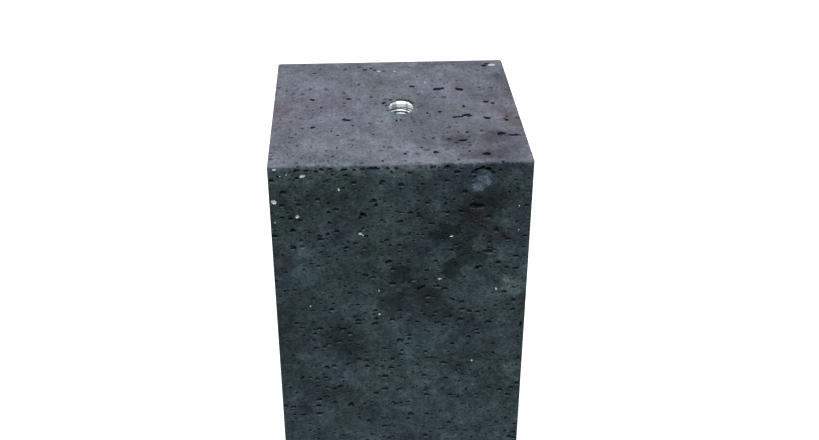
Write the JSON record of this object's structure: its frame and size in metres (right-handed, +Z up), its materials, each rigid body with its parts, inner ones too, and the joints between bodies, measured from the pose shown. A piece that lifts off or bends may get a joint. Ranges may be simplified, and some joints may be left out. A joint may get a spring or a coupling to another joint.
{
  "type": "column base block",
  "caption": "Square upright concrete block that a column or post stands on, with a threaded steel socket cast into the middle of its top.",
  "frame": {"origin": "centre of the underside, on the floor that the block stands on", "axes": "+Z up along the block, -Y out of the face that the picture looks at, +X to that face's right"},
  "size_m": [0.15, 0.15, 0.5],
  "materials": {
    "concrete": "through-coloured dark grey concrete, cast and matt, with small air voids",
    "zinc_plated_steel": "zinc-plated steel, semi-bright"
  },
  "bodies": {
    "root": {"concrete_block": "concrete", "threaded_socket": "zinc_plated_steel"}
  },
  "joints": []
}
